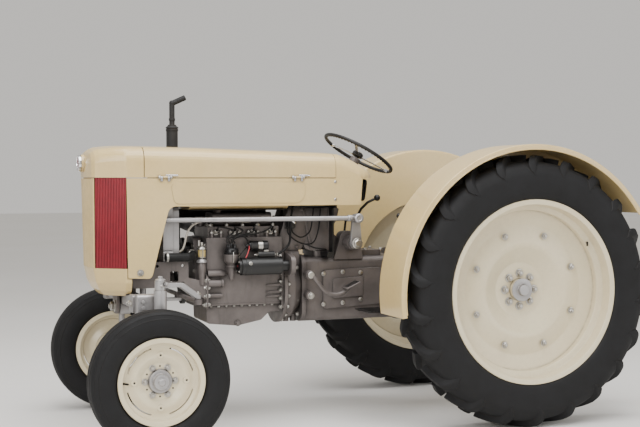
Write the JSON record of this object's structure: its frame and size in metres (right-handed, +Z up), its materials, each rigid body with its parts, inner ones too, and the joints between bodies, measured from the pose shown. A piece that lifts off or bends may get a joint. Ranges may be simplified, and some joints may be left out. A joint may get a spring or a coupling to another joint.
{
  "type": "farm tractor",
  "caption": "Vintage high-clearance farm tractor with hinged hood, working steering linkage, rolling wheels and a rear three-point lift.",
  "frame": {"origin": "on the ground under the middle of the tractor", "axes": "+X forward, +Y to the left, +Z up"},
  "size_m": [3.2438, 1.7046, 1.8515],
  "materials": {
    "painted_cream": "satin enamel",
    "maroon": "satin enamel",
    "grey_casting": "painted casting",
    "silver_steel": "painted steel",
    "chrome": "polished",
    "black_enamel": "gloss enamel",
    "black_rubber": "matt",
    "tyre_rubber": "matt",
    "wheel_paint": "satin enamel",
    "bare_steel": "bare"
  },
  "bodies": {
    "chassis": {"front_support": "grey_casting", "axle_beam": "silver_steel", "nose_cap": "painted_cream", "nose_pan": "painted_cream", "front_grille": "painted_cream", "side_grilles": "maroon", "side_panels": "painted_cream", "hood_tail": "painted_cream", "bright_trim": "chrome", "radiator": "silver_steel", "radiator_hoses": "black_rubber", "engine_block": "grey_casting", "rocker_cover": "grey_casting", "oil_pan": "grey_casting", "cooling_fan": "black_enamel", "starter": "black_enamel", "ignition": "black_enamel", "generator": "black_enamel", "exhaust": "black_enamel", "air_cleaner": "black_enamel", "fuel_tank": "painted_cream", "battery": "black_enamel", "bell_housing": "grey_casting", "gearbox": "grey_casting", "rear_axle": "grey_casting", "dash": "black_enamel", "steering_column": "grey_casting", "fenders": "painted_cream", "levers": "black_enamel", "pedals": "black_enamel", "steps": "black_enamel", "seat": "black_enamel", "drawbar": "grey_casting"},
    "hood": {"hood_cover": "painted_cream"},
    "steering_wheel": {"steering_wheel": "black_enamel"},
    "drop_arm": {"drop_arm": "silver_steel"},
    "drag_link": {"drag_link": "silver_steel"},
    "steering_shaft": {"steering_shaft": "silver_steel"},
    "tie_rod": {"tie_rod": "grey_casting"},
    "spindle_left": {"spindle_left": "silver_steel"},
    "spindle_right": {"spindle_right": "silver_steel"},
    "front_wheel_left": {"front_tyre_left": "tyre_rubber", "front_rim_left": "wheel_paint"},
    "front_wheel_right": {"front_tyre_right": "tyre_rubber", "front_rim_right": "wheel_paint"},
    "rear_wheel_left": {"rear_tyre_left": "tyre_rubber", "rear_rim_left": "wheel_paint"},
    "rear_wheel_right": {"rear_tyre_right": "tyre_rubber", "rear_rim_right": "wheel_paint"},
    "lift_arms": {"lift_arms": "grey_casting"},
    "lift_rods": {"lift_rods": "grey_casting"},
    "lower_links": {"lower_links": "grey_casting"},
    "pto_shaft": {"pto_shaft": "bare_steel"}
  },
  "joints": [
    {"name": "hood_hinge", "type": "hinge", "parent": "chassis", "child": "hood", "pos_m": [0.76686, 0.272, 1.368], "axis": [-1, 0, 0], "range_deg": [0, 80]},
    {"name": "steering", "type": "hinge", "parent": "chassis", "child": "steering_shaft", "pos_m": [1.23086, 0.086, 0.9], "axis": [0, 0, 1], "range_deg": [-30, 30]},
    {"name": "steering_wheel_turn", "type": "hinge", "parent": "chassis", "child": "steering_wheel", "pos_m": [-0.06614, 0, 1.508], "axis": [-0.5, 0, 0.866], "range_deg": [-421, 421]},
    {"name": "drop_arm_turn", "type": "hinge", "parent": "chassis", "child": "drop_arm", "pos_m": [0.04986, 0.24, 0.997], "axis": [0, 1, 0], "range_deg": [-31, 31]},
    {"name": "drag_link_ball", "type": "hinge", "parent": "drop_arm", "child": "drag_link", "pos_m": [0.04986, 0.24, 1.139], "axis": [0, 1, 0], "range_deg": [-31, 31]},
    {"name": "kingpin_left", "type": "hinge", "parent": "chassis", "child": "spindle_left", "pos_m": [1.23086, 0.505, 0.7], "axis": [0, 0, 1], "range_deg": [-31, 31]},
    {"name": "kingpin_right", "type": "hinge", "parent": "chassis", "child": "spindle_right", "pos_m": [1.23086, -0.505, 0.7], "axis": [0, 0, 1], "range_deg": [-31, 31]},
    {"name": "tie_rod_ball", "type": "hinge", "parent": "steering_shaft", "child": "tie_rod", "pos_m": [1.03386, 0.086, 0.727], "axis": [0, 0, 1], "range_deg": [-31, 31]},
    {"name": "front_wheel_left_spin", "type": "hinge", "parent": "spindle_left", "child": "front_wheel_left", "pos_m": [1.26686, 0.635, 0.355], "axis": [0, 1, 0], "continuous": true},
    {"name": "front_wheel_right_spin", "type": "hinge", "parent": "spindle_right", "child": "front_wheel_right", "pos_m": [1.26686, -0.635, 0.355], "axis": [0, 1, 0], "continuous": true},
    {"name": "rear_wheel_left_spin", "type": "hinge", "parent": "chassis", "child": "rear_wheel_left", "pos_m": [-0.76314, 0.71, 0.745], "axis": [0, 1, 0], "continuous": true},
    {"name": "rear_wheel_right_spin", "type": "hinge", "parent": "chassis", "child": "rear_wheel_right", "pos_m": [-0.76314, -0.71, 0.745], "axis": [0, 1, 0], "continuous": true},
    {"name": "lift", "type": "hinge", "parent": "chassis", "child": "lift_arms", "pos_m": [-0.85814, 0, 1.01], "axis": [0, 1, 0], "range_deg": [-6, 36]},
    {"name": "lift_rod_ball", "type": "hinge", "parent": "lift_arms", "child": "lift_rods", "pos_m": [-1.15699, 0, 0.98385], "axis": [0, 1, 0], "range_deg": [-36, 8]},
    {"name": "link_lift", "type": "hinge", "parent": "chassis", "child": "lower_links", "pos_m": [-0.81814, 0, 0.5], "axis": [0, 1, 0], "range_deg": [-6, 30]},
    {"name": "pto_turn", "type": "hinge", "parent": "chassis", "child": "pto_shaft", "pos_m": [-0.96314, 0, 0.64], "axis": [1, 0, 0], "continuous": true}
  ],
  "couplings": [
    {"joint": "steering_wheel_turn", "follows": "steering", "ratio": 14},
    {"joint": "drop_arm_turn", "follows": "steering", "ratio": -1},
    {"joint": "drag_link_ball", "follows": "steering", "ratio": 1},
    {"joint": "kingpin_left", "follows": "steering", "ratio": 1},
    {"joint": "kingpin_right", "follows": "steering", "ratio": 1},
    {"joint": "tie_rod_ball", "follows": "steering", "ratio": -1},
    {"joint": "lift_rod_ball", "follows": "lift", "ratio": -0.958},
    {"joint": "link_lift", "follows": "lift", "ratio": 0.783}
  ]
}
